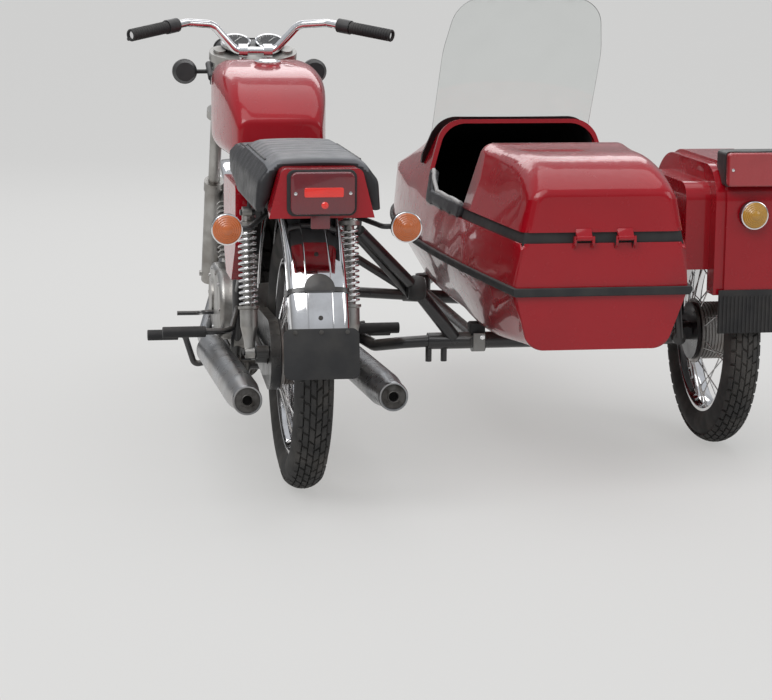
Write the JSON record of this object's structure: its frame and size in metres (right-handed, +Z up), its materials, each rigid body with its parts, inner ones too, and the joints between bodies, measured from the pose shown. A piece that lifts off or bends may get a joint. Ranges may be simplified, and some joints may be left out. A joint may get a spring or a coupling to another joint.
{
  "type": "sidecar motorcycle",
  "caption": "Motorcycle with a passenger sidecar on its right: turning wheels and steering, a folding stand, and a luggage lid behind the cockpit.",
  "frame": {"origin": "on the ground under the middle of the outfit's footprint", "axes": "+X toward the sidecar's side, +Y forward, +Z up"},
  "size_m": [1.5834, 2.053, 1.141],
  "materials": {
    "tyre_rubber": "matt black tread rubber, dusty at the shoulders",
    "chrome_plate": "bright chromium plate",
    "black_paint": "black stove enamel",
    "alloy": "cast alloy, lightly dulled",
    "black_plastic": "black moulded plastic",
    "red_paint": "deep red gloss paint",
    "red_lens": "red moulded lens",
    "amber_lens": "amber moulded lens",
    "black_vinyl": "black grained vinyl",
    "black_rubber": "black moulded rubber",
    "clear_glass": "fluted clear glass",
    "clear_screen": "clear bent acrylic"
  },
  "bodies": {
    "outfit": {"main_frame": "black_paint", "seat_rails": "black_paint", "swing_arm": "black_paint", "chain_case": "black_paint", "shock_bodies": "alloy", "shock_springs": "chrome_plate", "crankcase": "alloy", "cylinders": "alloy", "air_box": "black_plastic", "exhausts": "chrome_plate", "fuel_tank": "red_paint", "tail_cowl": "red_paint", "tail_lamp": "red_lens", "seat": "black_vinyl", "side_covers": "red_paint", "rear_mudguard": "chrome_plate", "rear_mudflap": "black_rubber", "footrest_rubbers": "black_rubber", "foot_levers": "chrome_plate", "sidecar_body": "red_paint", "boot_seal": "black_rubber", "belt_strip": "black_rubber", "cockpit_edge": "black_vinyl", "dash_hoop": "red_paint", "windscreen": "clear_screen", "windscreen_rubber": "black_rubber", "sidecar_seat": "black_vinyl", "sidecar_links": "black_paint", "sidecar_arm": "black_paint", "sidecar_chassis": "black_paint", "sidecar_mudguard": "red_paint", "sidecar_mudflap": "black_rubber", "side_lamp_housing": "black_plastic", "side_lamp_lens": "red_lens", "indicator_shells": "black_plastic", "indicator_lenses": "amber_lens"},
    "steering": {"fork_legs": "alloy", "fork_yokes": "alloy", "front_mudguard": "chrome_plate", "headlamp": "black_plastic", "headlamp_glass": "clear_glass", "handlebar": "chrome_plate", "grips": "black_rubber", "hand_controls": "black_plastic", "instruments": "black_plastic", "front_indicators": "black_plastic", "front_lenses": "amber_lens"},
    "front_roller": {"front_tyre": "tyre_rubber", "front_wheel": "chrome_plate"},
    "rear_roller": {"rear_tyre": "tyre_rubber", "rear_wheel": "chrome_plate"},
    "sidecar_roller": {"sidecar_tyre": "tyre_rubber", "sidecar_wheel": "chrome_plate"},
    "stand": {"center_stand": "black_paint"},
    "lid": {"boot_lid": "red_paint"}
  },
  "joints": [
    {"name": "steering_turn", "type": "hinge", "parent": "outfit", "child": "steering", "pos_m": [-0.43326, 0.80878, 0], "axis": [0, -0.454, 0.891], "range_deg": [-36, 36]},
    {"name": "front_wheel_spin", "type": "hinge", "parent": "steering", "child": "front_roller", "pos_m": [-0.43326, 0.71378, 0.312], "axis": [1, 0, 0], "continuous": true},
    {"name": "rear_wheel_spin", "type": "hinge", "parent": "outfit", "child": "rear_roller", "pos_m": [-0.43326, -0.62122, 0.32], "axis": [1, 0, 0], "continuous": true},
    {"name": "sidecar_wheel_spin", "type": "hinge", "parent": "outfit", "child": "sidecar_roller", "pos_m": [0.69674, -0.27722, 0.292], "axis": [1, 0, 0], "continuous": true},
    {"name": "stand_swing", "type": "hinge", "parent": "outfit", "child": "stand", "pos_m": [-0.43326, -0.11622, 0.196], "axis": [1, 0, 0], "range_deg": [0, 90]},
    {"name": "boot_lid_hinge", "type": "hinge", "parent": "outfit", "child": "lid", "pos_m": [0.23674, -0.88322, 0.6225], "axis": [1, 0, 0], "range_deg": [0, 95]}
  ]
}
